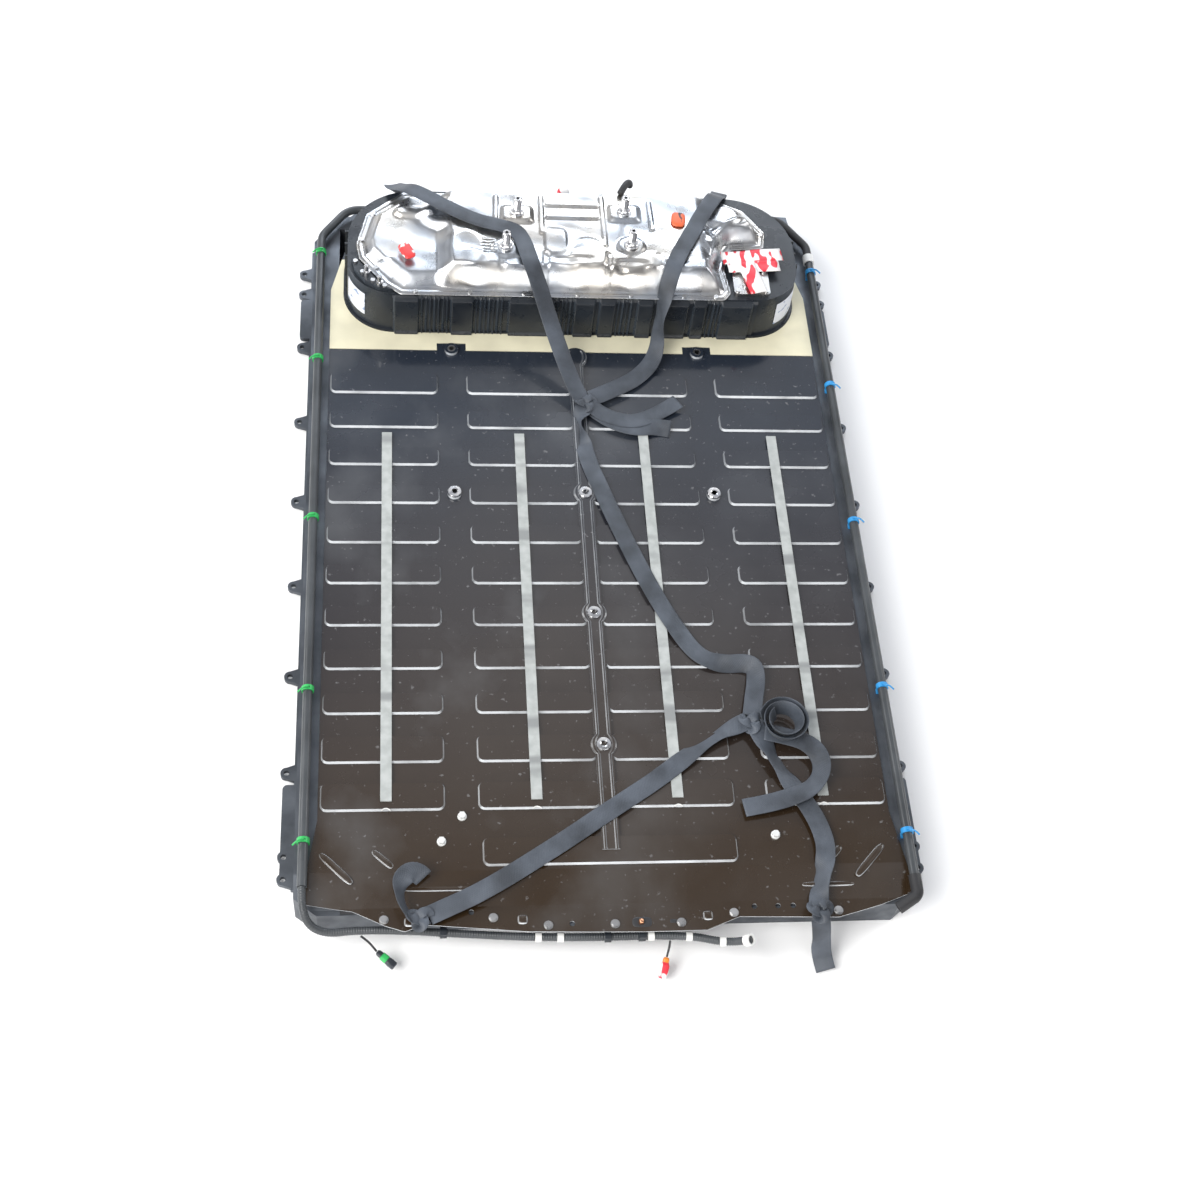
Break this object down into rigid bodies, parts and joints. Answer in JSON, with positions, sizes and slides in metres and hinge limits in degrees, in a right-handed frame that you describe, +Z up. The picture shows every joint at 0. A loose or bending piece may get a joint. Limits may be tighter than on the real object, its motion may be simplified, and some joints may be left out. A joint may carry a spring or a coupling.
{
  "type": "electric vehicle traction battery pack",
  "caption": "Flat electric-vehicle traction battery pack with a ribbed black lid, a rear electronics housing, side mounting lugs, coolant pipes and lashing straps.",
  "frame": {"origin": "on the tray's underside, on the middle plane, a little behind the middle of the pack", "axes": "+Z up; +Y towards the rear, where the electronics housing stands; +X to the right seen from the front"},
  "size_m": [1.466, 2.2825, 0.373],
  "materials": {
    "lid_paint": "gloss",
    "cream_panel": "satin",
    "formed_aluminium": "bright",
    "black_plastic": "satin",
    "rail_metal": "dull",
    "bare_aluminium": "satin",
    "cell_casing": "satin",
    "circuit_board": "gloss",
    "plated_steel": "satin",
    "bright_plating": "bright",
    "pale_bolt": "satin",
    "grey_foam": "matt",
    "black_rubber": "matt",
    "pipe_plastic": "satin",
    "green_plastic": "satin",
    "blue_plastic": "satin",
    "white_plastic": "satin",
    "white_tape": "matt",
    "lever_orange": "satin",
    "copper": "bright",
    "webbing": "woven"
  },
  "bodies": {
    "pack": {"beam_centre": "bare_aluminium", "busbars": "copper", "cell_links": "bare_aluminium", "cells_inner_modules": "cell_casing", "cells_outer_modules": "cell_casing", "channel_beams": "bare_aluminium", "cold_plates": "bare_aluminium", "connector_platform": "black_plastic", "contactor_bodies": "black_plastic", "controller_board": "circuit_board", "coolant_pipe_left": "pipe_plastic", "coolant_pipe_right": "pipe_plastic", "drive_header": "black_plastic", "electronics_carrier": "bare_aluminium", "foam_strips": "grey_foam", "front_casting": "rail_metal", "front_flange_bolts": "plated_steel", "front_line": "pipe_plastic", "hose_collars": "white_plastic", "housing_base": "black_plastic", "housing_bolts": "plated_steel", "housing_cover": "formed_aluminium", "inlet_elbow": "black_rubber", "lid_bolts": "pale_bolt", "lifting_posts": "bright_plating", "line_bands": "white_tape", "line_brackets": "black_plastic", "lower_tray": "bare_aluminium", "module_frames": "bare_aluminium", "monitoring_boards": "circuit_board", "pigtail_green": "black_rubber", "pigtail_plugs": "green_plastic", "pigtail_red": "black_rubber", "pipe_clips_blue": "blue_plastic", "pipe_clips_green": "green_plastic", "power_unit": "bare_aluminium", "rear_bracket_plate": "rail_metal", "rear_cross_member": "rail_metal", "rear_fittings": "black_plastic", "rear_hose_right": "black_rubber", "seals": "black_rubber", "service_cover": "formed_aluminium", "side_rail_left": "rail_metal", "side_rail_right": "rail_metal", "strap_front_left": "webbing", "strap_front_right": "webbing", "strap_knots": "webbing", "strap_middle": "webbing", "strap_rear_left": "webbing", "strap_rear_right": "webbing", "strap_tails": "webbing", "surround_panel": "cream_panel", "through_sleeves": "plated_steel", "top_cover": "lid_paint", "vent_bodies": "black_plastic"},
    "vent_poppet_left": {"vent_poppet_left": "black_plastic"},
    "vent_poppet_right": {"vent_poppet_right": "black_plastic"},
    "contactor_plunger_positive": {"contactor_plunger_positive": "plated_steel"},
    "contactor_plunger_negative": {"contactor_plunger_negative": "plated_steel"},
    "header_lever": {"header_lever": "lever_orange"}
  },
  "joints": [
    {"name": "vent_left_lift", "type": "slide", "parent": "pack", "child": "vent_poppet_left", "axis": [0, 1, 0], "range_m": [0, 0.003], "stiffness_N_per_m": 800},
    {"name": "vent_right_lift", "type": "slide", "parent": "pack", "child": "vent_poppet_right", "axis": [0, 1, 0], "range_m": [0, 0.003], "stiffness_N_per_m": 800},
    {"name": "contactor_positive_stroke", "type": "slide", "parent": "pack", "child": "contactor_plunger_positive", "axis": [0, 0, -1], "range_m": [0, 0.002], "stiffness_N_per_m": 1500},
    {"name": "contactor_negative_stroke", "type": "slide", "parent": "pack", "child": "contactor_plunger_negative", "axis": [0, 0, -1], "range_m": [0, 0.002], "stiffness_N_per_m": 1500},
    {"name": "header_lever_swing", "type": "hinge", "parent": "pack", "child": "header_lever", "pos_m": [0, 1.0005, 0.168], "axis": [-1, 0, 0], "range_deg": [0, 80]}
  ]
}
